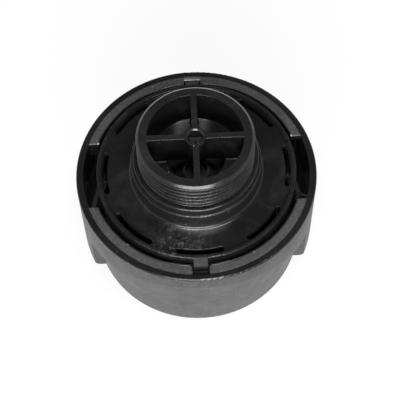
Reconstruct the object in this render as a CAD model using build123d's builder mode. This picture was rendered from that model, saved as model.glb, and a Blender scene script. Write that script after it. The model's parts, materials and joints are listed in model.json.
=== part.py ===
"""Hydraulic filler breather: bayonet cap, threaded neck, pleated filter and two-way valve.

Millimetres, +Z up. The breather stands on the flat top of its cap with the neck up, as it lies
on a bench. The origin is the centre of that resting face, and the neck's axis is +Z. X runs
through the two grips and the two bayonet gaps.
"""

import os
from math import asin, cos, degrees, pi, radians, sin, tan

from build123d import *

os.makedirs("parts", exist_ok=True)

# ---------------------------------------------------------------- cap
RIM_RADIUS = 44.0
RIM_HEIGHT = 46.5
RIM_EDGE_ROUND = 0.6
CAP_WALL = 2.4
CAP_TAPER = 5.0
CAP_TOP_ROUND = 3.0
CAP_TOP_THICKNESS = 2.6
BAND_DEPTH = 6.3
BAND_STEP = 0.4
BAND_ARCH_RADIUS = 77.0
GRIP_WIDTH = 37.0
GRIP_END_HEIGHT = 10.5
GRIP_END_ROUND = 2.0

# bayonet ledge round the cap's mouth
RIM_WIDTH = 2.5
LEDGE_WIDTH = 3.5
LEDGE_THICKNESS = 2.6
LEDGE_END_CHAMFER = 0.4
LEDGE_BEAD_RADIUS = 0.25
LEDGE_BEAD_INSET = 0.3
LEDGE_BEAD_SETBACK = 0.6
BAYONET_GAP_ANGLE = 39.6
NOTCH_WIDTH = 6.2
NOTCH_INSET = 0.4
NOTCH_CHAMFER = 0.8
STOP_WIDTH = 2.4
STOP_WALL = 0.7
STOP_DROP = 0.6
STOP_DEPTH = 7.0
STOP_POCKET_DEPTH = 3.0

# ---------------------------------------------------------------- base
DISC_RISE = 1.2
DISC_THICKNESS = 2.4
LIP_GAP = 1.6
LIP_WIDTH = 1.5
LIP_RISE = 0.9
LIP_EDGE_ROUND = 0.3
SLOT_COUNT = 8
SLOT_MARGIN = 0.4
SLOT_WIDTH = 2.0
SLOT_ANGLE = 26.4
LUG_ANGLE = 32.0
LUG_THICKNESS = 2.2
LUG_GAP = 1.1
LUG_CLEARANCE = 0.3
TAB_WIDTH = 5.0
TAB_SETBACK = 1.45
TAB_DROP = 1.4
TAB_LAND = 0.3

NECK_RISE = 24.5
THREAD_RADIUS = 20.955
THREAD_DEPTH = 1.48
THREAD_LENGTH = 12.0
THREAD_RELIEF = 0.8
NECK_WALL = 3.8
MOUTH_CHAMFER = 0.95
BORE_DRAFT = 0.95
FLOOR_RISE = 10.5
FLOOR_THICKNESS = 2.0
FLOOR_LEDGE = 5.7
FLOOR_FILLET = 0.5
COLLAR_RISE = 8.6
COLLAR_EDGE = 1.0
COLLAR_WALL = 3.2
COLLAR_FOOT_FILLET = 1.6
COLLAR_EDGE_ROUND = 0.4
WEB_THICKNESS = 2.1
WEB_FOOT = 0.5
BOSS_RADIUS = 3.9
BOSS_BORE_CHAMFER = 0.5
SNAP_SEAT_DEPTH = 5.4
SPIGOT_WALL = 2.0
SPIGOT_DEPTH = 6.8

# neck seal
SEAL_SLIP = 0.1
SEAL_WIDTH = 1.55
SEAL_THICKNESS = 2.7
SEAL_EDGE_ROUND = 0.5

# ---------------------------------------------------------------- filter element
ELEMENT_MARGIN = 1.0
ELEMENT_SLIP = 0.5
CORE_WALL = 0.8
END_DISC_THICKNESS = 1.2
PLEAT_COUNT = 40
PAPER_THICKNESS = 0.7
ELEMENT_SEAL_WIDTH = 3.0
ELEMENT_SEAL_THICKNESS = 1.8
CORE_WINDOW_COLUMNS = 8
CORE_WINDOW_ROWS = 4
CORE_WINDOW_ANGLE = 24.0
CORE_WINDOW_HEIGHT = 5.0
CRADLE_WALL = 2.0
CRADLE_HEIGHT = 3.6

# ---------------------------------------------------------------- valve
STEM_RADIUS = 2.0
RUNNING_CLEARANCE = 0.06
FIT_CLEARANCE = 0.15
SNAP_BARB = 0.45
SNAP_TAPER = 0.25
SNAP_SLIT = 0.7
SNAP_RECESS = 1.2
SNAP_CUT_BACK = 3.6
STEM_FLANGE_RADIUS = 3.6
STEM_FLANGE_THICKNESS = 1.2
HUB_RISE = 1.4
HUB_TOP_RADIUS = 4.9
HUB_FOOT_RADIUS = 8.6
HUB_COUNTERBORE_RADIUS = 3.9
HUB_COUNTERBORE_DEPTH = 2.9
CARRIER_PLATE_THICKNESS = 2.0
CARRIER_DEPTH = 6.5
CARRIER_WALL = 2.0
CARRIER_WALL_HEIGHT = 5.0
CARRIER_PORT_COUNT = 6
CARRIER_PORT_RADIUS = 2.4
SEAT_SETBACK = 1.85
SEAT_LAND = 1.2
SEAT_HEIGHT = 5.5
O_RING_SECTION = 1.9
VALVE_OVERHANG = 0.6
VALVE_PLATE_THICKNESS = 1.5
VALVE_SEAL_THICKNESS = 1.0
VALVE_SEAL_WIDTH = 3.2
VALVE_HUB_RADIUS = 4.6
VALVE_HUB_LENGTH = 5.0
VALVE_PORT_COUNT = 6
VALVE_PORT_RADIUS = 1.5
VALVE_PORT_PITCH_RADIUS = 8.0
VACUUM_OVERLAP = 1.1
VACUUM_PLATE_THICKNESS = 1.0
VACUUM_SEAL_THICKNESS = 0.8
VACUUM_HUB_RADIUS = 3.6
VACUUM_HUB_HEIGHT = 1.2
VACUUM_WIRE = 0.4
VACUUM_TURNS = 3.5
PRESSURE_WIRE = 1.0
PRESSURE_TURNS = 5.0
PRESSURE_SPRING_LENGTH = 16.0
WIRE_FLATS = 8
COIL_CLEARANCE = 0.3
RETAINER_MARGIN = 1.4
RETAINER_THICKNESS = 1.5
CLIP_RADIUS = 3.6
CLIP_THICKNESS = 1.0
CLIP_GROOVE_DEPTH = 0.4
CLIP_MOUTH_SHARE = 0.7
STEM_TAIL = 1.5

# ---------------------------------------------------------------- radii that follow
ledge_outer_radius = RIM_RADIUS - RIM_WIDTH
ledge_inner_radius = ledge_outer_radius - LEDGE_WIDTH
cap_top_radius = RIM_RADIUS - CAP_TAPER
shoulder_radius = RIM_RADIUS - BAND_STEP
lip_radius = ledge_inner_radius - LIP_GAP
lip_bore_radius = lip_radius - LIP_WIDTH
slot_outer_radius = lip_bore_radius - SLOT_MARGIN
slot_inner_radius = slot_outer_radius - SLOT_WIDTH
lug_radius = ledge_outer_radius - LUG_GAP
tab_radius = lug_radius - TAB_SETBACK
notch_radius = ledge_outer_radius - NOTCH_INSET

thread_root_radius = THREAD_RADIUS - THREAD_DEPTH
seal_bore_radius = THREAD_RADIUS + SEAL_SLIP
seal_radius = seal_bore_radius + SEAL_WIDTH
collar_radius = seal_radius + COLLAR_EDGE
mouth_bore_radius = THREAD_RADIUS - NECK_WALL
floor_bore_radius = mouth_bore_radius - BORE_DRAFT
floor_hole_radius = floor_bore_radius - FLOOR_LEDGE
spigot_bore_radius = collar_radius - COLLAR_WALL
spigot_radius = spigot_bore_radius + SPIGOT_WALL

element_radius = slot_inner_radius - ELEMENT_MARGIN
element_bore_radius = spigot_radius + ELEMENT_SLIP
element_seal_radius = element_bore_radius + ELEMENT_SEAL_WIDTH

carrier_radius = spigot_bore_radius - FIT_CLEARANCE
seat_radius = carrier_radius - SEAT_SETBACK
seat_bore_radius = seat_radius - SEAT_LAND
carrier_port_pitch_radius = (HUB_FOOT_RADIUS + seat_bore_radius) / 2
valve_plate_radius = seat_radius + VALVE_OVERHANG
vacuum_plate_radius = VALVE_PORT_PITCH_RADIUS + VALVE_PORT_RADIUS + VACUUM_OVERLAP
vacuum_seal_bore_radius = VALVE_PORT_PITCH_RADIUS - VALVE_PORT_RADIUS - VACUUM_OVERLAP
vacuum_coil_radius = VACUUM_HUB_RADIUS + COIL_CLEARANCE + VACUUM_WIRE / 2
pressure_coil_radius = VALVE_HUB_RADIUS + COIL_CLEARANCE + PRESSURE_WIRE / 2
retainer_radius = pressure_coil_radius + PRESSURE_WIRE / 2 + RETAINER_MARGIN
sliding_bore_radius = STEM_RADIUS + RUNNING_CLEARANCE
boss_bore_radius = STEM_RADIUS + FIT_CLEARANCE
snap_radius = STEM_RADIUS + SNAP_BARB
snap_seat_radius = snap_radius + FIT_CLEARANCE
clip_groove_radius = STEM_RADIUS - CLIP_GROOVE_DEPTH

# ---------------------------------------------------------------- heights, from the resting face
band_edge = RIM_HEIGHT - BAND_DEPTH
ledge_underside = RIM_HEIGHT - LEDGE_THICKNESS
disc_top = RIM_HEIGHT + DISC_RISE
disc_underside = disc_top - DISC_THICKNESS
lip_top = disc_top + LIP_RISE
lug_top = ledge_underside - LUG_CLEARANCE
skirt_end = lug_top - LUG_THICKNESS
neck_top = RIM_HEIGHT + NECK_RISE
thread_end = neck_top - MOUTH_CHAMFER
thread_start = thread_end - THREAD_LENGTH
floor_top = RIM_HEIGHT + FLOOR_RISE
floor_underside = floor_top - FLOOR_THICKNESS
collar_top = RIM_HEIGHT + COLLAR_RISE
spigot_end = disc_underside - SPIGOT_DEPTH
cap_floor = CAP_TOP_THICKNESS
cradle_top = cap_floor + CRADLE_HEIGHT

element_bottom = cradle_top + ELEMENT_SEAL_THICKNESS
element_top = disc_underside - ELEMENT_SEAL_THICKNESS
media_bottom = element_bottom + END_DISC_THICKNESS
media_top = element_top - END_DISC_THICKNESS

hub_top = RIM_HEIGHT + HUB_RISE
carrier_underside = RIM_HEIGHT - CARRIER_DEPTH
carrier_plate_top = carrier_underside + CARRIER_PLATE_THICKNESS
seat_face = carrier_underside - SEAT_HEIGHT
valve_plate_top = seat_face - VALVE_SEAL_THICKNESS
valve_plate_underside = valve_plate_top - VALVE_PLATE_THICKNESS
vacuum_plate_underside = valve_plate_top + VACUUM_SEAL_THICKNESS
vacuum_plate_top = vacuum_plate_underside + VACUUM_PLATE_THICKNESS
retainer_top = valve_plate_underside - PRESSURE_SPRING_LENGTH
retainer_underside = retainer_top - RETAINER_THICKNESS
stem_flange_underside = hub_top - HUB_COUNTERBORE_DEPTH
stem_end = retainer_underside - CLIP_THICKNESS - STEM_TAIL
snap_end = neck_top - SNAP_RECESS
snap_seat = neck_top - SNAP_SEAT_DEPTH
clip_underside = retainer_underside - CLIP_THICKNESS


def body_radius(height):
    """Radius of the cap's tapered body at a height above the resting face."""
    return cap_top_radius + (shoulder_radius - cap_top_radius) * height / band_edge


def ring_edges(piece, radius, height):
    """The circular edges of a piece at one radius and one height."""
    near = 1e-3
    return piece.edges().filter_by(GeomType.CIRCLE).filter_by(
        lambda edge: abs(edge.radius - radius) < near and abs(edge.center().Z - height) < near
    )


def finish(piece, label):
    """Name a finished piece and write it."""
    piece.part.label = label
    export_step(piece.part, f"parts/{label}.step")


# ---------------------------------------------------------------- cap
# rim band with an arched lower edge that runs down into the two grips
with BuildPart() as band:
    with BuildSketch(Plane.XY.offset(GRIP_END_HEIGHT)):
        Circle(RIM_RADIUS)
    extrude(amount=RIM_HEIGHT - GRIP_END_HEIGHT)
    fillet(band.edges().group_by(Axis.Z)[0], GRIP_END_ROUND)
    for side in (1, -1):
        with BuildSketch(Plane.XZ.offset(-side * GRIP_WIDTH / 2)):
            with Locations((0, band_edge - BAND_ARCH_RADIUS)):
                Circle(BAND_ARCH_RADIUS)
        extrude(amount=-side * RIM_RADIUS, mode=Mode.SUBTRACT)

with BuildPart() as cap:
    # tapered body with a rounded top edge
    with BuildSketch(Plane.XZ):
        with BuildLine():
            Polyline(
                (0, 0),
                (cap_top_radius, 0),
                (shoulder_radius, band_edge),
                (shoulder_radius, RIM_HEIGHT),
                (0, RIM_HEIGHT),
                close=True,
            )
        make_face()
    revolve(axis=Axis.Z)
    fillet(cap.edges().group_by(Axis.Z)[0], CAP_TOP_ROUND)
    add(band.part)
    fillet(cap.edges().filter_by(GeomType.CIRCLE).group_by(Axis.Z)[-1], RIM_EDGE_ROUND)

    # cavity, following the tapered body, and the hollow behind each grip
    with BuildSketch(Plane.XZ):
        with BuildLine():
            Polyline(
                (0, cap_floor),
                (body_radius(cap_floor) - CAP_WALL, cap_floor),
                (shoulder_radius - CAP_WALL, band_edge),
                (ledge_outer_radius, ledge_underside),
                (ledge_inner_radius, ledge_underside),
                (ledge_inner_radius, RIM_HEIGHT),
                (0, RIM_HEIGHT),
                close=True,
            )
        make_face()
    revolve(axis=Axis.Z, mode=Mode.SUBTRACT)
    with BuildSketch(Plane.XY.offset(GRIP_END_HEIGHT + CAP_WALL)):
        Circle(ledge_outer_radius)
        Rectangle(2 * RIM_RADIUS, GRIP_WIDTH - 2 * CAP_WALL, mode=Mode.INTERSECT)
    extrude(amount=ledge_underside - GRIP_END_HEIGHT - CAP_WALL, mode=Mode.SUBTRACT)

    # bayonet gaps through the ledge, and the notches that the tabs snap into
    with BuildSketch(Plane.XY.offset(ledge_underside)):
        Circle(ledge_outer_radius)
        with BuildSketch(mode=Mode.PRIVATE) as wedge:
            with PolarLocations(0, 2):
                Polygon(
                    (0, 0),
                    (RIM_RADIUS, RIM_RADIUS * tan(radians(BAYONET_GAP_ANGLE / 2))),
                    (RIM_RADIUS, -RIM_RADIUS * tan(radians(BAYONET_GAP_ANGLE / 2))),
                    align=None,
                )
        add(wedge.sketch, mode=Mode.INTERSECT)
    extrude(amount=LEDGE_THICKNESS, mode=Mode.SUBTRACT)
    with BuildSketch(Plane.XY.offset(ledge_underside)):
        Circle(notch_radius)
        Rectangle(NOTCH_WIDTH, 2 * RIM_RADIUS, mode=Mode.INTERSECT)
    extrude(amount=LEDGE_THICKNESS, mode=Mode.SUBTRACT)
    chamfer(ring_edges(cap, notch_radius, RIM_HEIGHT), NOTCH_CHAMFER)
    ledge_ends = cap.edges().filter_by(GeomType.LINE).filter_by_position(
        Axis.Z, RIM_HEIGHT, RIM_HEIGHT, inclusive=(True, True)
    )
    gap_ends = ledge_ends.filter_by(lambda edge: abs(edge.center().X) > NOTCH_WIDTH)
    chamfer(gap_ends, LEDGE_END_CHAMFER)

    # rounded bead along the ledge's inner edge, from each gap to each notch
    notch_half_angle = degrees(asin(NOTCH_WIDTH / 2 / ledge_inner_radius))
    bead_setback = degrees(LEDGE_BEAD_SETBACK / ledge_inner_radius)
    bead_start = BAYONET_GAP_ANGLE / 2 + bead_setback
    bead_end = 90 - notch_half_angle - bead_setback
    for start in (bead_start, 180 - bead_end, 180 + bead_start, 360 - bead_end):
        toward = radians(start)
        outward = (cos(toward), sin(toward), 0)
        along = (sin(toward), -cos(toward), 0)
        with BuildSketch(Plane(origin=(0, 0, 0), x_dir=outward, z_dir=along)):
            with Locations((ledge_inner_radius + LEDGE_BEAD_INSET, RIM_HEIGHT)):
                Circle(LEDGE_BEAD_RADIUS)
        revolve(axis=Axis.Z, revolution_arc=bead_end - bead_start)

    # hollow stops at one end of each gap, which the lugs turn away from
    stop_angle = degrees(STOP_WIDTH / 2 / ledge_outer_radius) - BAYONET_GAP_ANGLE / 2
    stop_reach = ledge_outer_radius - ledge_inner_radius
    stop_middle = (ledge_outer_radius + ledge_inner_radius) / 2
    with BuildSketch(Plane.XY.offset(RIM_HEIGHT - STOP_DROP)):
        with PolarLocations(stop_middle, 2, start_angle=stop_angle):
            Rectangle(stop_reach + STOP_WALL, STOP_WIDTH + STOP_WALL)
    extrude(amount=-STOP_DEPTH)
    with BuildSketch(Plane.XY.offset(RIM_HEIGHT - STOP_DROP)):
        with PolarLocations(stop_middle, 2, start_angle=stop_angle):
            Rectangle(stop_reach - 2 * STOP_WALL, STOP_WIDTH - STOP_WALL)
    extrude(amount=-STOP_POCKET_DEPTH, mode=Mode.SUBTRACT)

    # cradle ring that carries the lower end of the filter element
    with BuildSketch(Plane.XY.offset(cap_floor)):
        Circle(element_seal_radius)
        Circle(element_seal_radius - CRADLE_WALL, mode=Mode.SUBTRACT)
    extrude(amount=CRADLE_HEIGHT)
finish(cap, "cap")


# ---------------------------------------------------------------- base
with BuildPart() as base:
    # disc, lip, collar, seal land, thread blank, bore, floor and spigot in one profile
    with BuildSketch(Plane.XZ):
        with BuildLine():
            Polyline(
                (spigot_bore_radius, spigot_end),
                (spigot_radius, spigot_end),
                (spigot_radius, disc_underside),
                (lip_bore_radius, disc_underside),
                (lip_bore_radius, skirt_end),
                (lip_radius, skirt_end),
                (lip_radius, lip_top),
                (lip_bore_radius, lip_top),
                (lip_bore_radius, disc_top),
                (collar_radius, disc_top),
                (collar_radius, collar_top),
                (THREAD_RADIUS, collar_top),
                (THREAD_RADIUS, thread_start - THREAD_RELIEF),
                (thread_root_radius, thread_start - THREAD_RELIEF),
                (thread_root_radius, thread_start),
                (THREAD_RADIUS, thread_start),
                (THREAD_RADIUS, thread_end),
                (THREAD_RADIUS - MOUTH_CHAMFER, neck_top),
                (mouth_bore_radius, neck_top),
                (floor_bore_radius, floor_top),
                (floor_hole_radius, floor_top),
                (floor_hole_radius, floor_underside),
                (spigot_bore_radius, floor_underside),
                close=True,
            )
        make_face()
    revolve(axis=Axis.Z)
    fillet(ring_edges(base, collar_radius, disc_top), COLLAR_FOOT_FILLET)
    fillet(ring_edges(base, collar_radius, collar_top), COLLAR_EDGE_ROUND)
    fillet(ring_edges(base, floor_bore_radius, floor_top), FLOOR_FILLET)
    lip_edges = ring_edges(base, lip_radius, lip_top) + ring_edges(base, lip_bore_radius, lip_top)
    fillet(lip_edges, LIP_EDGE_ROUND)

    # cross web and boss, flush with the mouth
    with BuildSketch(Plane.XY.offset(floor_top)):
        with BuildSketch(mode=Mode.PRIVATE) as cross:
            Rectangle(2 * THREAD_RADIUS, WEB_THICKNESS)
            Rectangle(WEB_THICKNESS, 2 * THREAD_RADIUS)
            Circle(BOSS_RADIUS)
        add(cross.sketch)
        Circle((mouth_bore_radius + THREAD_RADIUS) / 2, mode=Mode.INTERSECT)
        Circle(boss_bore_radius, mode=Mode.SUBTRACT)
    extrude(amount=neck_top - floor_top)
    with BuildSketch(Plane.XY.offset(snap_seat)):
        Circle(snap_seat_radius)
    extrude(amount=SNAP_SEAT_DEPTH, mode=Mode.SUBTRACT)
    chamfer(ring_edges(base, snap_seat_radius, neck_top), BOSS_BORE_CHAMFER)
    # sloping feet where the webs stand on the floor
    with BuildSketch(Plane.XY.offset(floor_top)):
        with PolarLocations(floor_hole_radius, 4):
            Rectangle(
                THREAD_RADIUS - NECK_WALL / 2 - floor_hole_radius,
                WEB_THICKNESS + 2 * WEB_FOOT,
                align=(Align.MIN, Align.CENTER),
            )
    extrude(amount=WEB_FOOT, taper=45)

    # arc slots that let air in through the disc
    with BuildSketch(Plane.XY.offset(disc_underside)):
        with PolarLocations(0, SLOT_COUNT):
            slot_middle_radius = slot_inner_radius + SLOT_WIDTH / 2
            slot_path = CenterArc((0, 0), slot_middle_radius, -SLOT_ANGLE / 2, SLOT_ANGLE)
            SlotArc(slot_path, SLOT_WIDTH)
    extrude(amount=DISC_THICKNESS, mode=Mode.SUBTRACT)

    # bayonet lugs under the ledge
    with BuildSketch(Plane.XY.offset(skirt_end)):
        Circle(lug_radius)
        Circle(lip_bore_radius, mode=Mode.SUBTRACT)
        with BuildSketch(mode=Mode.PRIVATE) as span:
            with PolarLocations(0, 2, start_angle=90):
                Polygon(
                    (0, 0),
                    (RIM_RADIUS, RIM_RADIUS * tan(radians(LUG_ANGLE / 2))),
                    (RIM_RADIUS, -RIM_RADIUS * tan(radians(LUG_ANGLE / 2))),
                    align=None,
                )
        add(span.sketch, mode=Mode.INTERSECT)
    extrude(amount=LUG_THICKNESS)

    # locking tabs that stand in the notches, sloping down outward from the lip
    lip_middle_radius = lip_radius - LIP_WIDTH / 2
    with BuildSketch(Plane.YZ.offset(-TAB_WIDTH / 2)):
        with BuildSketch(mode=Mode.PRIVATE) as tab:
            with BuildLine():
                Polyline(
                    (lip_middle_radius, skirt_end),
                    (tab_radius, skirt_end),
                    (tab_radius, lip_top - TAB_DROP),
                    (lip_radius + TAB_LAND, lip_top),
                    (lip_middle_radius, lip_top),
                    close=True,
                )
            make_face()
        add(tab.sketch)
        mirror(tab.sketch, about=Plane.YZ)
    extrude(amount=TAB_WIDTH)
finish(base, "base")


# ---------------------------------------------------------------- neck seal
with BuildPart() as neck_seal:
    with BuildSketch(Plane.XY.offset(collar_top)):
        Circle(seal_radius)
        Circle(seal_bore_radius, mode=Mode.SUBTRACT)
    extrude(amount=SEAL_THICKNESS)
    rims = neck_seal.edges().filter_by(GeomType.CIRCLE)
    fillet(rims.group_by(SortBy.RADIUS)[-1], SEAL_EDGE_ROUND)
finish(neck_seal, "neck_seal")


# ---------------------------------------------------------------- filter element
def element_ring(bottom, thickness, inner_radius, outer_radius):
    """A flat ring of the filter element."""
    with BuildPart() as ring:
        with BuildSketch(Plane.XY.offset(bottom)):
            Circle(outer_radius)
            Circle(inner_radius, mode=Mode.SUBTRACT)
        extrude(amount=thickness)
    return ring


finish(
    element_ring(element_bottom, END_DISC_THICKNESS, element_bore_radius, element_radius),
    "filter_end_disc_lower",
)
finish(
    element_ring(media_top, END_DISC_THICKNESS, element_bore_radius, element_radius),
    "filter_end_disc_upper",
)
finish(
    element_ring(cradle_top, ELEMENT_SEAL_THICKNESS, element_bore_radius, element_seal_radius),
    "filter_seal_lower",
)
finish(
    element_ring(element_top, ELEMENT_SEAL_THICKNESS, element_bore_radius, element_seal_radius),
    "filter_seal_upper",
)

with BuildPart() as filter_core:
    with BuildSketch(Plane.XY.offset(media_bottom)):
        Circle(element_bore_radius + CORE_WALL)
        Circle(element_bore_radius, mode=Mode.SUBTRACT)
    extrude(amount=media_top - media_bottom)
    row_pitch = (media_top - media_bottom) / CORE_WINDOW_ROWS
    window_width = 2 * element_bore_radius * sin(radians(CORE_WINDOW_ANGLE / 2))
    for row in range(CORE_WINDOW_ROWS):
        row_height = media_bottom + (row + 0.5) * row_pitch
        with BuildSketch(Plane.XY.offset(row_height - CORE_WINDOW_HEIGHT / 2)):
            with PolarLocations(0, CORE_WINDOW_COLUMNS):
                Rectangle(2 * element_bore_radius, window_width, align=(Align.MIN, Align.CENTER))
        extrude(amount=CORE_WINDOW_HEIGHT, mode=Mode.SUBTRACT)
finish(filter_core, "filter_core")

with BuildPart() as filter_media:
    # one strip of paper, folded to and fro between the core and the discs' rim
    fold_inner = element_bore_radius + CORE_WALL + PAPER_THICKNESS
    fold_outer = element_radius - 2 * PAPER_THICKNESS
    fold_step = pi / PLEAT_COUNT
    half_paper = PAPER_THICKNESS / 2
    outline = []
    back = []
    for fold in range(2 * PLEAT_COUNT):
        angle = fold * fold_step
        radius = fold_outer if fold % 2 else fold_inner
        outline.append(((radius + half_paper) * cos(angle), (radius + half_paper) * sin(angle)))
        back.append(((radius - half_paper) * cos(angle), (radius - half_paper) * sin(angle)))
    with BuildSketch(Plane.XY.offset(media_bottom)):
        with BuildLine():
            Polyline(*outline, close=True)
        make_face()
        with BuildLine():
            Polyline(*back, close=True)
        make_face(mode=Mode.SUBTRACT)
    extrude(amount=media_top - media_bottom)
finish(filter_media, "filter_media")


# ---------------------------------------------------------------- valve carrier
o_ring_radius = O_RING_SECTION / 2
groove_bottom = carrier_radius - O_RING_SECTION
groove_middle = carrier_plate_top + CARRIER_WALL_HEIGHT / 2 - CARRIER_PLATE_THICKNESS / 2
with BuildPart() as valve_carrier:
    with BuildSketch(Plane.XZ):
        with BuildLine():
            Polyline(
                (sliding_bore_radius, carrier_underside),
                (seat_bore_radius, carrier_underside),
                (seat_bore_radius, seat_face),
                (seat_radius, seat_face),
                (seat_radius, carrier_underside),
                (carrier_radius, carrier_underside),
                (carrier_radius, carrier_underside + CARRIER_WALL_HEIGHT),
                (groove_bottom - CARRIER_WALL, carrier_underside + CARRIER_WALL_HEIGHT),
                (groove_bottom - CARRIER_WALL, carrier_plate_top),
                (HUB_FOOT_RADIUS, carrier_plate_top),
                (HUB_TOP_RADIUS, hub_top),
                (HUB_COUNTERBORE_RADIUS, hub_top),
                (HUB_COUNTERBORE_RADIUS, stem_flange_underside),
                (sliding_bore_radius, stem_flange_underside),
                close=True,
            )
        make_face()
        with Locations((carrier_radius, groove_middle)):
            Rectangle(2 * O_RING_SECTION, O_RING_SECTION, mode=Mode.SUBTRACT)
    revolve(axis=Axis.Z)
    with BuildSketch(Plane.XY.offset(carrier_underside)):
        with PolarLocations(carrier_port_pitch_radius, CARRIER_PORT_COUNT):
            Circle(CARRIER_PORT_RADIUS)
    extrude(amount=CARRIER_PLATE_THICKNESS, mode=Mode.SUBTRACT)
finish(valve_carrier, "valve_carrier")

with BuildPart() as carrier_seal:
    with BuildSketch(Plane.XZ):
        with Locations((groove_bottom + o_ring_radius, groove_middle)):
            Circle(o_ring_radius)
    revolve(axis=Axis.Z)
finish(carrier_seal, "carrier_seal")


# ---------------------------------------------------------------- valve stem
with BuildPart() as valve_stem:
    with BuildSketch(Plane.XZ):
        with BuildLine():
            Polyline(
                (0, stem_end),
                (STEM_RADIUS, stem_end),
                (STEM_RADIUS, clip_underside),
                (clip_groove_radius, clip_underside),
                (clip_groove_radius, retainer_underside),
                (STEM_RADIUS, retainer_underside),
                (STEM_RADIUS, stem_flange_underside),
                (STEM_FLANGE_RADIUS, stem_flange_underside),
                (STEM_FLANGE_RADIUS, stem_flange_underside + STEM_FLANGE_THICKNESS),
                (STEM_RADIUS, stem_flange_underside + STEM_FLANGE_THICKNESS),
                (STEM_RADIUS, snap_seat),
                (snap_radius, snap_seat),
                (snap_radius, snap_end - SNAP_TAPER),
                (snap_radius - SNAP_TAPER, snap_end),
                (0, snap_end),
                close=True,
            )
        make_face()
    revolve(axis=Axis.Z)
    # the end is split, and its rear half is cut back so that the halves can spring
    with Locations((0, 0, snap_end)):
        Box(
            SNAP_SLIT,
            2 * snap_radius,
            2 * SNAP_CUT_BACK,
            mode=Mode.SUBTRACT,
        )
    with Locations((0, SNAP_SLIT / 2, snap_end)):
        Box(
            2 * snap_radius,
            2 * snap_radius,
            2 * SNAP_CUT_BACK,
            align=(Align.CENTER, Align.MIN, Align.CENTER),
            mode=Mode.SUBTRACT,
        )
finish(valve_stem, "valve_stem")


# ---------------------------------------------------------------- pressure valve
with BuildPart() as pressure_valve_plate:
    with BuildSketch(Plane.XY.offset(valve_plate_underside)):
        Circle(valve_plate_radius)
    extrude(amount=VALVE_PLATE_THICKNESS)
    with BuildSketch(Plane.XY.offset(valve_plate_underside)):
        Circle(VALVE_HUB_RADIUS)
    extrude(amount=-VALVE_HUB_LENGTH)
    with BuildSketch(Plane.XY.offset(valve_plate_top)):
        Circle(sliding_bore_radius)
        with PolarLocations(VALVE_PORT_PITCH_RADIUS, VALVE_PORT_COUNT):
            Circle(VALVE_PORT_RADIUS)
    extrude(amount=-VALVE_HUB_LENGTH - VALVE_PLATE_THICKNESS, mode=Mode.SUBTRACT)
finish(pressure_valve_plate, "pressure_valve_plate")

with BuildPart() as pressure_valve_seal:
    with BuildSketch(Plane.XY.offset(valve_plate_top)):
        Circle(valve_plate_radius)
        Circle(valve_plate_radius - VALVE_SEAL_WIDTH, mode=Mode.SUBTRACT)
    extrude(amount=VALVE_SEAL_THICKNESS)
finish(pressure_valve_seal, "pressure_valve_seal")


# ---------------------------------------------------------------- vacuum valve
with BuildPart() as vacuum_valve_plate:
    with BuildSketch(Plane.XY.offset(vacuum_plate_underside)):
        Circle(vacuum_plate_radius)
    extrude(amount=VACUUM_PLATE_THICKNESS)
    with BuildSketch(Plane.XY.offset(vacuum_plate_top)):
        Circle(VACUUM_HUB_RADIUS)
    extrude(amount=VACUUM_HUB_HEIGHT)
    with BuildSketch(Plane.XY.offset(vacuum_plate_underside)):
        Circle(sliding_bore_radius)
    extrude(amount=VACUUM_PLATE_THICKNESS + VACUUM_HUB_HEIGHT, mode=Mode.SUBTRACT)
finish(vacuum_valve_plate, "vacuum_valve_plate")

with BuildPart() as vacuum_valve_seal:
    with BuildSketch(Plane.XY.offset(valve_plate_top)):
        Circle(vacuum_plate_radius)
        Circle(vacuum_seal_bore_radius, mode=Mode.SUBTRACT)
    extrude(amount=VACUUM_SEAL_THICKNESS)
finish(vacuum_valve_seal, "vacuum_valve_seal")


# ---------------------------------------------------------------- springs
def coil_spring(bottom, top, coil_radius, wire, turns):
    """A compression spring between two faces; its wire has flats enough to keep the mesh light."""
    height = top - bottom - wire
    with BuildPart() as spring:
        with BuildLine():
            path = Helix(height / turns, height, coil_radius, center=(0, 0, bottom + wire / 2))
        with BuildSketch(Plane(origin=path @ 0, z_dir=path % 0)):
            RegularPolygon(wire / 2, WIRE_FLATS)
        sweep(is_frenet=True)
    return spring


finish(
    coil_spring(
        retainer_top,
        valve_plate_underside,
        pressure_coil_radius,
        PRESSURE_WIRE,
        PRESSURE_TURNS,
    ),
    "pressure_spring",
)
finish(
    coil_spring(
        vacuum_plate_top,
        carrier_underside,
        vacuum_coil_radius,
        VACUUM_WIRE,
        VACUUM_TURNS,
    ),
    "vacuum_spring",
)


# ---------------------------------------------------------------- spring retainer and clip
with BuildPart() as spring_retainer:
    with BuildSketch(Plane.XY.offset(retainer_underside)):
        Circle(retainer_radius)
        Circle(sliding_bore_radius, mode=Mode.SUBTRACT)
    extrude(amount=RETAINER_THICKNESS)
finish(spring_retainer, "spring_retainer")

with BuildPart() as stem_clip:
    with BuildSketch(Plane.XY.offset(clip_underside)):
        Circle(CLIP_RADIUS)
        Circle(clip_groove_radius, mode=Mode.SUBTRACT)
        Rectangle(
            CLIP_RADIUS,
            2 * clip_groove_radius * CLIP_MOUTH_SHARE,
            align=(Align.MIN, Align.CENTER),
            mode=Mode.SUBTRACT,
        )
    extrude(amount=CLIP_THICKNESS)
finish(stem_clip, "stem_clip")
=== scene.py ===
"""Looks for the hydraulic filler breather: plastics, the neck's thread, light and camera."""

import json
from math import cos, pi, radians, sin, sqrt, tan

import bmesh
import bpy
from mathutils import Matrix, Vector


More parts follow.
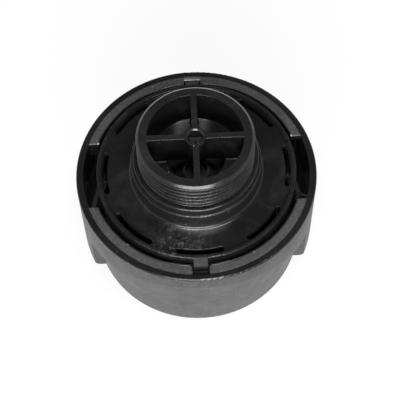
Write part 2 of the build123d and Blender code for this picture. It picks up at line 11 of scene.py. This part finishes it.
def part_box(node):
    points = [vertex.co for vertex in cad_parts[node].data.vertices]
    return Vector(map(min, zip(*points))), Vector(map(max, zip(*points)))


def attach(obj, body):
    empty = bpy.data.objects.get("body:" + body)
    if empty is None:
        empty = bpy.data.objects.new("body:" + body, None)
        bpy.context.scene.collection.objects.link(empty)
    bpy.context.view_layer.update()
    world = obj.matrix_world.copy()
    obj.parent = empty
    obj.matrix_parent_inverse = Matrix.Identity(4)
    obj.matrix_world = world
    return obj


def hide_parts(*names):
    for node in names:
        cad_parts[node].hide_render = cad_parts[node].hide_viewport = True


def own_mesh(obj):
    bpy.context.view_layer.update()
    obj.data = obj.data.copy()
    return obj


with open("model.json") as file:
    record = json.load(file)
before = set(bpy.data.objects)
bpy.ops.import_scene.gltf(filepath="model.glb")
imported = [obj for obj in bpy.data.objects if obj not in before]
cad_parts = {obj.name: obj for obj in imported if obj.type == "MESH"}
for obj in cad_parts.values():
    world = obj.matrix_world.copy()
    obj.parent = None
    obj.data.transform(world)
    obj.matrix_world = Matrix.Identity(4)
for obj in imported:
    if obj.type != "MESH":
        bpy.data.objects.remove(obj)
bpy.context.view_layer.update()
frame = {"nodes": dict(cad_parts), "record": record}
nodes = frame["nodes"]
scene = bpy.context.scene
slots = {part["node"]: part["material_slot"] for part in frame["record"]["subparts"]}

# ---------------------------------------------------------------- sizes, in metres
LEDGE_BEAD = 0.00025
LEDGE_WIDTH = 0.0035
LEDGE_THICKNESS = 0.0026
RIM_WIDTH = 0.0025
CAP_FOOT_RADIUS = 0.039
NECK_WALL = 0.0038
NECK_FLOOR_DEPTH = 0.014
DISC_RISE = 0.0012
CATCH_HALF_WIDTH = 0.0036
SLOT_RING_INNER = 0.029
MARGIN = 0.0002

cap_low, cap_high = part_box("cap")
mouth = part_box("base")[1].z
seal_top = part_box("neck_seal")[1].z
thread_mount = next(m for m in frame["record"]["mounts"] if m["name"] == "neck_thread")
thread_radius = thread_mount["dims"]["r_mm"] / 1000
thread_length = thread_mount["dims"]["length_mm"] / 1000
rim_height = cap_high.z - LEDGE_BEAD
ledge_outer = cap_high.x - RIM_WIDTH
ledge_inner = ledge_outer - LEDGE_WIDTH
ledge_under = rim_height - LEDGE_THICKNESS
neck_bore = thread_radius - NECK_WALL
neck_floor = mouth - NECK_FLOOR_DEPTH
disc_top = rim_height + DISC_RISE


def add_object(name, data):
    """A new object in the scene."""
    made = bpy.data.objects.new(name, data)
    scene.collection.objects.link(made)
    return made


# ---------------------------------------------------------------- materials
WHITE = (1, 1, 1, 1)


class Nodes:
    """A node tree, with short ways to add nodes to it."""

    def __init__(self, tree):
        self.tree = tree

    def add(self, kind, **values):
        node = self.tree.nodes.new(kind)
        for key, value in values.items():
            setattr(node, key, value)
        return node

    def link(self, output, socket):
        self.tree.links.new(output, socket)

    def glow(self, kind, strength):
        """Plain white light of a given strength, as an emission or a background."""
        node = self.add(kind)
        node.inputs["Color"].default_value = WHITE
        node.inputs["Strength"].default_value = strength
        return node.outputs[0]

    def span(self, value, low, high, to_low=0.0, to_high=1.0, shape="LINEAR"):
        """A number taken from one range to another, and held at its ends."""
        node = self.add("ShaderNodeMapRange", interpolation_type=shape)
        ends = {"From Min": low, "From Max": high, "To Min": to_low, "To Max": to_high}
        for key, number in ends.items():
            node.inputs[key].default_value = number
        self.link(value, node.inputs["Value"])
        return node.outputs["Result"]

    def math(self, operation, a, b=None):
        node = self.add("ShaderNodeMath", operation=operation)
        for socket, value in zip(node.inputs, (a, b)):
            if value is None:
                continue
            if isinstance(value, (int, float)):
                socket.default_value = value
            else:
                self.link(value, socket)
        return node.outputs["Value"]

    def mix_shaders(self, factor, a, b):
        node = self.add("ShaderNodeMixShader")
        for socket, output in zip(node.inputs, (factor, a, b)):
            self.link(output, socket)
        return node.outputs["Shader"]


class Shader(Nodes):
    """A material whose Principled BSDF is driven by patterns in the object's own coordinates."""

    def __init__(self, name):
        self.material = bpy.data.materials.new(name)
        self.material.use_nodes = True
        super().__init__(self.material.node_tree)
        self.bsdf = self.tree.nodes["Principled BSDF"]
        self.place = self.add("ShaderNodeTexCoord").outputs["Object"]

    def drive(self, name, output):
        """Link a result to one of the Principled BSDF's inputs."""
        self.link(output, self.bsdf.inputs[name])

    def noise(self, scale, detail, roughness, distortion=0.0):
        node = self.add("ShaderNodeTexNoise")
        node.inputs["Scale"].default_value = scale
        node.inputs["Detail"].default_value = detail
        node.inputs["Roughness"].default_value = roughness
        node.inputs["Distortion"].default_value = distortion
        self.link(self.place, node.inputs["Vector"])
        return node.outputs["Fac"]

    def cells(self, scale, output):
        node = self.add("ShaderNodeTexVoronoi")
        node.inputs["Scale"].default_value = scale
        self.link(self.place, node.inputs["Vector"])
        return node.outputs[output]

    def mix(self, factor, a, b):
        """A colour between two, each given as numbers or as another node's result."""
        node = self.add("ShaderNodeMix", data_type="RGBA")
        self.link(factor, node.inputs["Factor"])
        for socket, value in ((node.inputs[6], a), (node.inputs[7], b)):
            if isinstance(value, tuple):
                socket.default_value = (*value, 1.0)
            else:
                self.link(value, socket)
        return node.outputs[2]

    def relief(self, height, depth, edge_radius):
        """Fine bumps of a given depth, on edges that turn softly, as moulded edges do."""
        rounded = self.add("ShaderNodeBevel", samples=6)
        rounded.inputs["Radius"].default_value = edge_radius
        node = self.add("ShaderNodeBump")
        node.inputs["Distance"].default_value = depth
        node.inputs["Strength"].default_value = 1.0
        self.link(height, node.inputs["Height"])
        self.link(rounded.outputs["Normal"], node.inputs["Normal"])
        self.drive("Normal", node.outputs["Normal"])


class Plastic(Shader):
    """Black moulded plastic whose grain, shade and gloss can differ from zone to zone."""

    def __init__(self, name):
        super().__init__(name)
        split = self.add("ShaderNodeSeparateXYZ")
        self.link(self.place, split.inputs["Vector"])
        x, y, self.height = split.outputs
        self.aside = self.math("ABSOLUTE", x)
        self.radius = self.math("SQRT", self.math("ADD", self.both(x, x), self.both(y, y)))

    def both(self, a, b):
        """The product of two: where two masks overlap, or a mask made weaker by a number."""
        return self.math("MULTIPLY", a, b)

    def either(self, a, b):
        """The larger of two masks."""
        return self.math("MAXIMUM", a, b)

    def within(self, value, low, high, blur=0.00008):
        """1 between two limits and 0 outside them."""
        above = self.span(value, low - blur, low + blur)
        below = self.span(value, high - blur, high + blur, 1.0, 0.0)
        return self.both(above, below)

    def blend(self, mask, a, b):
        """A plain number that goes from a to b with a mask."""
        return self.span(mask, 0.0, 1.0, a, b)

    def specks(self, scale, size, share, strength=0.7):
        """Sparse grains of dust, one at most in a cell."""
        near = self.span(self.cells(scale, "Distance"), size, 0.6 * size)
        keep = self.span(self.cells(scale, "Color"), 1 - share, 1 - share + 0.01)
        return self.both(self.both(near, keep), strength)


def cap_plastic():
    """Matt grained nylon, with a smooth ring round the rim, a smooth bead and smooth insides."""
    grained_dark, grained_light = (0.026, 0.026, 0.027), (0.068, 0.068, 0.069)
    smooth_dark, smooth_light = (0.007, 0.007, 0.0073), (0.012, 0.012, 0.0125)
    dust_colour = (0.5, 0.5, 0.52)
    smooth_roughness, grained_roughness, worn_by = 0.20, 0.46, 0.05
    fine_share, cloud_share = 0.85, 0.15
    smooth_relief, grained_relief = 0.25, 1.0
    past_bead = ledge_inner + 0.0006
    below_rim = rim_height - 0.0005
    below_ledge_top, above_ledge_top = rim_height - 0.0003, rim_height + 0.001
    under_skin, at_skin = -0.0006, -0.0004

    s = Plastic("cap_plastic")
    fine = s.noise(scale=1100.0, detail=4.0, roughness=0.7)
    cloud = s.noise(scale=70.0, detail=3.0, roughness=0.55)

    # the grain covers the ledges' tops and the outer wall, short of the rim
    ledge_level = s.within(s.height, below_ledge_top, above_ledge_top)
    on_ledge = s.both(ledge_level, s.within(s.radius, past_bead, ledge_outer))
    wall_radius = s.span(s.height, 0.0, rim_height, CAP_FOOT_RADIUS, cap_high.x - MARGIN)
    outer_wall = s.span(s.math("SUBTRACT", s.radius, wall_radius), under_skin, at_skin)
    on_wall = s.both(s.within(s.height, MARGIN, below_rim), outer_wall)
    zone = s.either(on_ledge, on_wall)

    shade = s.math("ADD", s.both(fine, fine_share), s.both(cloud, cloud_share))
    grained = s.mix(s.span(shade, 0.40, 0.60), grained_dark, grained_light)
    smooth = s.mix(s.span(cloud, 0.35, 0.65), smooth_dark, smooth_light)
    dust = s.specks(scale=420.0, size=0.10, share=0.35)
    s.drive("Base Color", s.mix(dust, s.mix(zone, smooth, grained), dust_colour))
    patches = s.noise(scale=160.0, detail=3.0, roughness=0.6)
    worn = s.span(patches, 0.3, 0.7, -worn_by, worn_by)
    s.drive("Roughness", s.math("ADD", worn, s.blend(zone, smooth_roughness, grained_roughness)))
    grain = s.both(fine, s.blend(zone, smooth_relief, grained_relief))
    s.relief(grain, depth=0.00006, edge_radius=0.0001)
    return s.material


def base_plastic():
    """Smooth glossy nylon, grained on the neck, with cloudy dusty patches, specks of dust, wipe
    marks with a painted sheen on one patch of the disc, and painted shade below the rim and in the
    air slots.
    """
    plain_dark, plain_light = (0.0035, 0.0036, 0.0037), (0.010, 0.0102, 0.0105)
    grained_dark, grained_light = (0.005, 0.0053, 0.005), (0.016, 0.0168, 0.016)
    # the haze's colour, also painted as a sheen on the wipe-marked patch of the disc
    haze_and_sheen_colour, dust_colour = (0.095, 0.097, 0.099), (0.55, 0.55, 0.56)
    # near black, painted as shade past the lip below the rim and in the air slots
    painted_shade_colour = (0.0012, 0.0012, 0.0012)
    least_roughness, most_roughness = 0.17, 0.26
    rougher_by = {"neck": 0.02, "haze_and_sheen": 0.15, "catch": 0.42, "slot": 0.40}
    smoother_inside = 0.05
    # the place, reach and core of the patch with wipe marks and a painted sheen
    wipe_and_sheen_at, wipe_and_sheen_reach, wipe_and_sheen_core = (-0.007, -0.032, disc_top), 0.014, 0.003
    haze_share, haze_and_sheen_share = 0.15, 0.85
    smooth_relief, grained_relief = 0.30, 0.8
    collar_foot = disc_top + 0.0012
    mouth_edge, mouth_face = mouth - 0.0003, mouth - 0.0001
    well_bottom = neck_floor - 0.004
    slope_inner, slope_outer = ledge_inner - 0.0016, ledge_inner + 0.0013
    lip_edge, past_lip_edge = ledge_inner - 0.0018, ledge_inner - 0.0014
    painted_shade_from, painted_shade_by = rim_height - 0.0006, rim_height - 0.0012
    slot_depth = disc_top - 0.0005
    wipe_and_sheen_high, wipe_and_sheen_low = disc_top + 0.0016, disc_top + 0.0008

    s = Plastic("base_plastic")
    fine = s.noise(scale=1900.0, detail=4.0, roughness=0.7)
    cloud = s.noise(scale=85.0, detail=4.0, roughness=0.6, distortion=0.6)

    # the neck's outside and its mouth are grained, and its bore is smoother
    above_disc = s.span(s.height, disc_top + MARGIN, collar_foot)
    on_neck = s.both(above_disc, s.span(s.radius, neck_bore, neck_bore + MARGIN))
    on_mouth = s.span(s.height, mouth_edge, mouth_face)
    neck_grain = s.either(on_neck, on_mouth)
    below_mouth = s.within(s.height, well_bottom, mouth_edge)
    inside = s.both(s.span(s.radius, neck_bore, neck_bore - MARGIN), below_mouth)

    # the catches' slopes are rougher
    slope = s.within(s.radius, slope_inner, slope_outer)
    on_catch = s.both(slope, s.within(s.aside, -CATCH_HALF_WIDTH, CATCH_HALF_WIDTH))

    # painted shade: what lies past the lip and below the rim, and in the air slots, is painted the
    # darkest
    past_lip = s.span(s.radius, lip_edge, past_lip_edge)
    below_lip = s.both(past_lip, s.span(s.height, painted_shade_from, painted_shade_by))
    below_disc = s.span(s.height, disc_top - MARGIN, slot_depth)
    in_slot = s.both(s.within(s.radius, SLOT_RING_INNER, ledge_inner), below_disc)
    painted_shade = s.either(below_lip, in_slot)

    # a thin haze all over, left off below the rim as painted shade there, and on one patch of the
    # disc wipe marks with a painted sheen
    haze = s.span(s.noise(scale=60.0, detail=5.0, roughness=0.7, distortion=1.0), 0.50, 0.75)
    from_wipe_and_sheen = s.add("ShaderNodeVectorMath", operation="DISTANCE")
    s.link(s.place, from_wipe_and_sheen.inputs[0])
    from_wipe_and_sheen.inputs[1].default_value = wipe_and_sheen_at
    patch = s.span(from_wipe_and_sheen.outputs["Value"], wipe_and_sheen_reach, wipe_and_sheen_core)
    patch = s.both(patch, s.span(s.height, wipe_and_sheen_high, wipe_and_sheen_low))
    streaks = s.noise(scale=560.0, detail=5.0, roughness=0.8, distortion=0.5)
    smear_and_sheen = s.both(patch, s.span(streaks, 0.50, 0.68))
    upward = s.span(s.height, rim_height - 0.0005, rim_height)
    haze_and_sheen = s.both(s.either(s.both(haze, haze_share), smear_and_sheen), upward)

    plain = s.mix(s.span(fine, 0.3, 0.7), plain_dark, plain_light)
    grained = s.mix(s.span(fine, 0.35, 0.65), grained_dark, grained_light)
    # haze over the plastic, with the painted sheen on the disc's patch
    colour = s.mix(s.both(haze_and_sheen, haze_and_sheen_share), s.mix(neck_grain, plain, grained), haze_and_sheen_colour)
    # painted shade past the lip below the rim and in the air slots
    colour = s.mix(painted_shade, colour, painted_shade_colour)
    dust = s.specks(scale=520.0, size=0.11, share=0.16)
    s.drive("Base Color", s.mix(dust, colour, dust_colour))
    roughness = s.span(cloud, 0.35, 0.65, least_roughness, most_roughness)
    zones = {"neck": neck_grain, "haze_and_sheen": haze_and_sheen, "catch": on_catch, "slot": in_slot}
    for name, zone in zones.items():
        roughness = s.math("ADD", roughness, s.both(zone, rougher_by[name]))
    s.drive("Roughness", s.math("SUBTRACT", roughness, s.both(inside, smoother_inside)))
    grain = s.both(fine, s.blend(neck_grain, smooth_relief, grained_relief))
    s.relief(grain, depth=0.00003, edge_radius=0.0003)
    return s.material


def plain_finish(name, dark, light, roughness, scale=300.0, metal=0.0, uneven_by=0.05):
    """A clean surface with slight unevenness of colour and gloss."""
    s = Shader(name)
    uneven = s.noise(scale, detail=3.0, roughness=0.6)
    s.drive("Base Color", s.mix(s.span(uneven, 0.35, 0.65), dark, light))
    smoothest, roughest = roughness - uneven_by, roughness + uneven_by
    s.drive("Roughness", s.span(uneven, 0.3, 0.7, smoothest, roughest))
    s.bsdf.inputs["Metallic"].default_value = metal
    s.relief(uneven, depth=0.00001, edge_radius=0.0002)
    return s.material


# dark colour, light colour, roughness and, where it isn't the usual one, the pattern's scale
DULL_FINISHES = {
    "black_rubber": ((0.008, 0.008, 0.008), (0.014, 0.014, 0.0145), 0.14),
    # the filter paper's reddish brown is made darker as painted shade inside the housing
    "filter_paper": ((0.05, 0.018, 0.012), (0.09, 0.038, 0.025), 0.85, 900.0),
    "end_disc_plastic": ((0.009, 0.009, 0.0095), (0.016, 0.016, 0.0165), 0.4),
    "valve_plastic": ((0.012, 0.012, 0.013), (0.02, 0.02, 0.021), 0.36),
}
STEEL_FINISHES = {
    "core_steel": ((0.5, 0.5, 0.5), (0.62, 0.62, 0.61), 0.35, 400.0),
    "spring_steel": ((0.5, 0.5, 0.51), (0.62, 0.62, 0.63), 0.28, 500.0),
    "plate_steel": ((0.55, 0.55, 0.53), (0.66, 0.66, 0.63), 0.33, 400.0),
}
finishes = {"cap_plastic": cap_plastic(), "base_plastic": base_plastic()}
for name, look in DULL_FINISHES.items():
    finishes[name] = plain_finish(name, *look)
for name, look in STEEL_FINISHES.items():
    finishes[name] = plain_finish(name, *look, metal=1.0)

for name, node in nodes.items():
    node.data.materials.clear()
    node.data.materials.append(finishes[slots[name]])


# ---------------------------------------------------------------- meshes
SAME_POINT = 1e-7
SHARP_ANGLE = radians(32)


def clean_copy(node, name):
    """A copy of a node's mesh with its doubled corners joined and no stored normals."""
    mesh = nodes[node].data.copy()
    bm = bmesh.new()
    bm.from_mesh(mesh)
    bmesh.ops.remove_doubles(bm, verts=bm.verts, dist=SAME_POINT)
    bm.to_mesh(mesh)
    bm.free()
    stored = mesh.attributes.get("custom_normal")
    if stored is not None:
        mesh.attributes.remove(stored)
    return add_object(name, mesh)


def shade_by_angle(mesh):
    """Smooth shading broken at every real edge."""
    mesh.shade_smooth()
    mesh.set_sharp_from_angle(angle=SHARP_ANGLE)


def block(lower, upper):
    """A closed block between two outlines, anticlockwise as seen from the upper one."""
    bm = bmesh.new()
    low_ring = [bm.verts.new(corner) for corner in lower]
    high_ring = [bm.verts.new(corner) for corner in upper]
    bm.faces.new(low_ring[::-1])
    bm.faces.new(high_ring)
    for k in range(len(low_ring)):
        n = (k + 1) % len(low_ring)
        bm.faces.new((low_ring[k], low_ring[n], high_ring[n], high_ring[k]))
    mesh = bpy.data.meshes.new("block")
    bm.to_mesh(mesh)
    bm.free()
    return add_object("block", mesh)


def prism(outline, low, high):
    """A block whose outline is given in X and Y, between two heights."""
    return block([(x, y, low) for x, y in outline], [(x, y, high) for x, y in outline])


def bar(x_low, x_high, outline):
    """A block along X whose outline is given in Y and Z."""
    return block([(x_low, y, z) for y, z in outline], [(x_high, y, z) for y, z in outline])


def cut(piece, tool, operation):
    """Cut a block from a piece or join it on."""
    step = piece.modifiers.new("cut", "BOOLEAN")
    step.operation = operation
    step.solver = "EXACT"
    step.object = tool
    bpy.context.view_layer.update()
    evaluated = piece.evaluated_get(bpy.context.evaluated_depsgraph_get())
    done = bpy.data.meshes.new_from_object(evaluated)
    piece.modifiers.clear()
    piece.data = done
    bpy.data.objects.remove(tool)


# ---------------------------------------------------------------- the cap's bayonet gaps
GAP_HALF_WIDTH = 0.0133
GAP_SLOPE = 0.0003
END_OVERLAP = 0.0019
STOP_REACH = 0.0078
NOTCH_HALF_WIDTH = 0.0031
NOTCH_INSET = 0.0004
SILL_WIDTH = 0.0010
SILL_DROP = 0.0004
# how far the blocks reach past what they cut away or join on
INSIDE_LEDGE = 0.0008
ABOVE = 0.001
BELOW = 0.00025
JOIN = 0.0002


def ledge_outline(side, y_low, y_high, inner, outer, steps=12):
    """The stretch of a ring between two lines square to Y, on one side of it."""
    def run(radius, first, last):
        ys = [first + (last - first) * k / steps for k in range(steps + 1)]
        return [(side * sqrt(radius ** 2 - y ** 2), y) for y in ys]
    points = run(outer, y_low, y_high) + run(inner, y_high, y_low)
    return points if side > 0 else points[::-1]


def square_gaps(piece):
    """Cut the gaps' ends square to Y, and take away what narrows the gaps."""
    clear = ledge_inner - INSIDE_LEDGE
    for side, y_low, y_high, low in (
        (-1, -GAP_HALF_WIDTH, GAP_HALF_WIDTH, rim_height - STOP_REACH),
        (1, GAP_HALF_WIDTH / 2, GAP_HALF_WIDTH, ledge_under - BELOW),
    ):
        outline = ledge_outline(side, y_low, y_high, clear, ledge_outer)
        cut(piece, prism(outline, low, rim_height + ABOVE), "DIFFERENCE")
    for side in (1, -1):
        for end in (1, -1):
            ys = sorted((end * GAP_HALF_WIDTH, end * (GAP_HALF_WIDTH + END_OVERLAP)))
            outline = ledge_outline(side, ys[0], ys[1], ledge_inner, ledge_outer + ABOVE)
            cut(piece, prism(outline, ledge_under, rim_height), "UNION")


def add_notch_sill(piece):
    """Join on the sloped sill at the foot of the rear notch."""
    foot = ledge_outer - NOTCH_INSET
    sill = (
        (foot - SILL_WIDTH, ledge_under),
        (ledge_outer + JOIN, ledge_under),
        (ledge_outer + JOIN, rim_height),
        (foot, rim_height),
        (foot - SILL_WIDTH, rim_height - SILL_DROP),
    )
    cut(piece, bar(-NOTCH_HALF_WIDTH - JOIN, NOTCH_HALF_WIDTH + JOIN, sill), "UNION")


def slope_gap_ends(piece):
    """Slope the top edge at the rear end of each gap."""
    edge = (
        (GAP_HALF_WIDTH - ABOVE, rim_height - GAP_SLOPE),
        (GAP_HALF_WIDTH, rim_height - GAP_SLOPE),
        (GAP_HALF_WIDTH + GAP_SLOPE + ABOVE, rim_height + ABOVE),
        (GAP_HALF_WIDTH - ABOVE, rim_height + ABOVE),
    )
    reach = sqrt(ledge_outer ** 2 - (GAP_HALF_WIDTH + GAP_SLOPE) ** 2)
    for side in (1, -1):
        ends = sorted((side * reach, side * (reach - LEDGE_WIDTH - ABOVE)))
        cut(piece, bar(ends[0], ends[1], edge), "DIFFERENCE")


def cap_with_square_gaps():
    """The cap's own mesh, with square gaps, no stop in the left one, and three small slopes."""
    piece = clean_copy("cap", "cap_body")
    square_gaps(piece)
    add_notch_sill(piece)
    slope_gap_ends(piece)
    shade_by_angle(piece.data)
    return piece


cap_body = cap_with_square_gaps()
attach(cap_body, "housing")
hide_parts("cap")


# ---------------------------------------------------------------- the neck's thread
PITCH = 0.002309
THREAD_DEPTH = 0.00148
LEVEL_SHARE = 0.12
RUN_OUT_AT_SEAL = 0.4 * PITCH
RUN_OUT_AT_MOUTH = 0.1 * PITCH
MOUTH_CHAMFER = 0.00095
TURN_STEPS = 192
ROWS_PER_TURN = 12
FIRST_TURN, LAST_TURN = -1, 8
STRIP_HALF_ANGLE = radians(3.0)
STRIP_FADE = radians(1.5)
WELD = 0.000003
UPRIGHT_TILT = 0.01
thread_top = mouth - MOUTH_CHAMFER
thread_bottom = thread_top - thread_length


def held(share):
    """A number kept between 0 and 1."""
    return min(max(share, 0.0), 1.0)


def thread_radius_at(turn_share):
    """Outer radius at a share of one pitch: level crests and roots between curved flanks."""
    wave = 0.5 + 0.5 * cos(2 * pi * turn_share)
    flank = held((wave - LEVEL_SHARE) / (1 - 2 * LEVEL_SHARE))
    return thread_radius - THREAD_DEPTH * (1 - flank)


def delete_blank(bm):
    """Take the plain outer face of the thread's blank off the base's mesh."""
    on_blank = []
    for face in bm.faces:
        middle = face.calc_center_median()
        outer = abs(sqrt(middle.x ** 2 + middle.y ** 2) - thread_radius) < MARGIN
        if outer and abs(face.normal.z) < UPRIGHT_TILT and seal_top < middle.z < thread_top:
            on_blank.append(face)
    bmesh.ops.delete(bm, geom=on_blank, context="FACES")


def add_thread(bm):
    """Helical grid from the seal to the mouth's chamfer, plain at the mould's parting lines."""
    columns = []
    for step in range(TURN_STEPS):
        turn = step / TURN_STEPS
        angle = 2 * pi * turn
        off_strip = abs(((angle + pi / 2) % pi) - pi / 2)
        fade_strip = held((off_strip - STRIP_HALF_ANGLE) / STRIP_FADE)
        column = []
        for row in range(FIRST_TURN * ROWS_PER_TURN, LAST_TURN * ROWS_PER_TURN):
            height = thread_bottom + PITCH * (row / ROWS_PER_TURN + turn)
            height = min(max(height, thread_bottom), thread_top)
            depth = thread_radius - thread_radius_at((height - thread_bottom) / PITCH - turn)
            fade_low = held((height - thread_bottom) / RUN_OUT_AT_SEAL)
            fade_high = held((thread_top - height) / RUN_OUT_AT_MOUTH)
            radius = thread_radius - depth * fade_strip * min(fade_low, fade_high)
            column.append(bm.verts.new((radius * cos(angle), radius * sin(angle), height)))
        columns.append(column)
    for step, column in enumerate(columns):
        following = columns[(step + 1) % TURN_STEPS]
        for row in range(len(column) - 1):
            bm.faces.new((column[row], following[row], following[row + 1], column[row + 1]))


def on_thread(place):
    """Whether a point is on the thread, between its two ends."""
    outside = sqrt(place.x ** 2 + place.y ** 2) > thread_radius - THREAD_DEPTH - WELD
    return outside and thread_bottom + WELD < place.z < thread_top - WELD


def base_with_thread():
    """The base's own mesh with its plain thread blank turned into a helical thread."""
    piece = clean_copy("base", "base_body")
    bm = bmesh.new()
    bm.from_mesh(piece.data)
    delete_blank(bm)
    add_thread(bm)
    bmesh.ops.remove_doubles(bm, verts=bm.verts, dist=WELD)
    rims = [edge for edge in bm.edges if edge.is_boundary]
    bmesh.ops.holes_fill(bm, edges=rims, sides=4)
    bmesh.ops.recalc_face_normals(bm, faces=bm.faces)
    bm.to_mesh(piece.data)
    bm.free()
    shade_by_angle(piece.data)
    vertices = piece.data.vertices
    for edge in piece.data.edges:
        if all(on_thread(vertices[k].co) for k in edge.vertices):
            edge.use_edge_sharp = False
    return piece


base_body = base_with_thread()
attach(base_body, "housing")
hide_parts("base")


# ---------------------------------------------------------------- the valves' springs
for joint in frame["record"]["behaviour"]["joints"]:
    for soft in joint.get("deforming_nodes", ()):
        node = soft["node"]
        coil = add_object(node + "_coil", nodes[node].data.copy())
        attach(coil, "housing")
        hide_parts(node)
        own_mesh(coil)


# ---------------------------------------------------------------- floor and light
FLOOR_GAP = 0.00005
FLOOR_COLOUR = (0.88, 0.88, 0.88, 1)
PAPER_SHARE = 0.85
WALL_GLOW = 0.7
CEILING_GLOW = 0.06
# how far up the wall ends and the ceiling begins, from 0 at the horizon to 1 overhead
WALL_TOP, CEILING_START = 0.30, 0.62


def floor_material():
    """Pale floor that the camera and the gloss see as white paper with a soft shadow."""
    material = bpy.data.materials.new("floor")
    material.use_nodes = True
    n = Nodes(material.node_tree)
    bsdf = n.tree.nodes["Principled BSDF"]
    bsdf.inputs["Base Color"].default_value = FLOOR_COLOUR
    bsdf.inputs["Roughness"].default_value = 1.0
    bsdf.inputs["Specular IOR Level"].default_value = 0.0
    seen = n.add("ShaderNodeLightPath").outputs
    mirrored = n.math("MAXIMUM", seen["Is Glossy Ray"], seen["Is Transmission Ray"])
    share = n.math("MULTIPLY", n.math("MAXIMUM", seen["Is Camera Ray"], mirrored), PAPER_SHARE)
    paper = n.glow("ShaderNodeEmission", 1.0)
    surface = n.mix_shaders(share, bsdf.outputs["BSDF"], paper)
    n.link(surface, n.tree.nodes["Material Output"].inputs["Surface"])
    return material


def add_floor():
    """A wide round floor just under the cap."""
    bm = bmesh.new()
    bmesh.ops.create_circle(bm, cap_ends=True, segments=96, radius=3.0)
    mesh = bpy.data.meshes.new("floor")
    bm.to_mesh(mesh)
    bm.free()
    mesh.materials.append(floor_material())
    made = add_object("floor", mesh)
    made.location.z = cap_low.z - FLOOR_GAP
    return made


def studio_world():
    """A white wall all round, up to where a dark ceiling begins. The camera sees white paper."""
    world = bpy.data.worlds.new("studio")
    world.use_nodes = True
    n = Nodes(world.node_tree)
    split = n.add("ShaderNodeSeparateXYZ")
    n.link(n.add("ShaderNodeTexCoord").outputs["Generated"], split.inputs["Vector"])
    glow = n.span(split.outputs["Z"], WALL_TOP, CEILING_START, WALL_GLOW, CEILING_GLOW, "SMOOTHSTEP")
    studio = n.tree.nodes["Background"]
    studio.inputs["Color"].default_value = WHITE
    n.link(glow, studio.inputs["Strength"])
    paper = n.glow("ShaderNodeBackground", 1.0)
    seen = n.add("ShaderNodeLightPath").outputs
    surface = n.mix_shaders(seen["Is Camera Ray"], studio.outputs["Background"], paper)
    n.link(surface, n.tree.nodes["World Output"].inputs["Surface"])
    return world


def soft_box(name, place, aim, width, height, power):
    """A soft area light aimed at a point."""
    lamp = bpy.data.lights.new(name, "AREA")
    lamp.shape = "RECTANGLE"
    lamp.size = width
    lamp.size_y = height
    lamp.energy = power
    piece = add_object(name, lamp)
    piece.location = place
    piece.rotation_euler = (aim - Vector(place)).to_track_quat("-Z", "Y").to_euler()


floor = add_floor()
scene.world = studio_world()
rim_centre = Vector((0, 0, rim_height))
soft_box("key", (0.05, -0.20, 1.05), rim_centre, width=0.50, height=0.24, power=7.5)
soft_box("front", (-0.05, -0.95, 0.62), rim_centre, width=0.9, height=0.30, power=13.0)

# ---------------------------------------------------------------- camera
CAMERA_DISTANCE = 0.450
SENSOR_WIDTH_MM = 36.0
LENS_MM = 110.79
ELEVATION = radians(60.22)
TURN = radians(0.9)
ROLL = radians(1.736)
# how far right of and above the view's middle the rim's centre is seen
SEEN_RIGHT = radians(-0.171282)
SEEN_ABOVE = radians(1.341156)


def camera_matrix():
    """The camera's place and turn, looking past the rim's centre."""
    forward = Vector((sin(TURN) * cos(ELEVATION), cos(TURN) * cos(ELEVATION), -sin(ELEVATION)))
    right = Vector((cos(TURN), -sin(TURN), 0))
    up = right.cross(forward)
    aim = Vector((tan(SEEN_RIGHT), tan(SEEN_ABOVE), 1)).normalized()
    turn = Vector((0, 0, 1)).rotation_difference(aim).to_matrix()
    roll = Matrix.Rotation(ROLL, 3, "Z")
    to_camera = turn @ roll @ Matrix((right, up, forward))
    axes = Matrix((to_camera[0], to_camera[1], -to_camera[2])).transposed()
    return Matrix.Translation(rim_centre - forward * CAMERA_DISTANCE) @ axes.to_4x4()


camera_data = bpy.data.cameras.new("camera")
camera_data.sensor_width = SENSOR_WIDTH_MM
camera_data.lens = LENS_MM
camera_data.clip_start = 0.01
camera = add_object("camera", camera_data)
camera.matrix_world = camera_matrix()
scene.camera = camera

scene.view_settings.view_transform = "Standard"
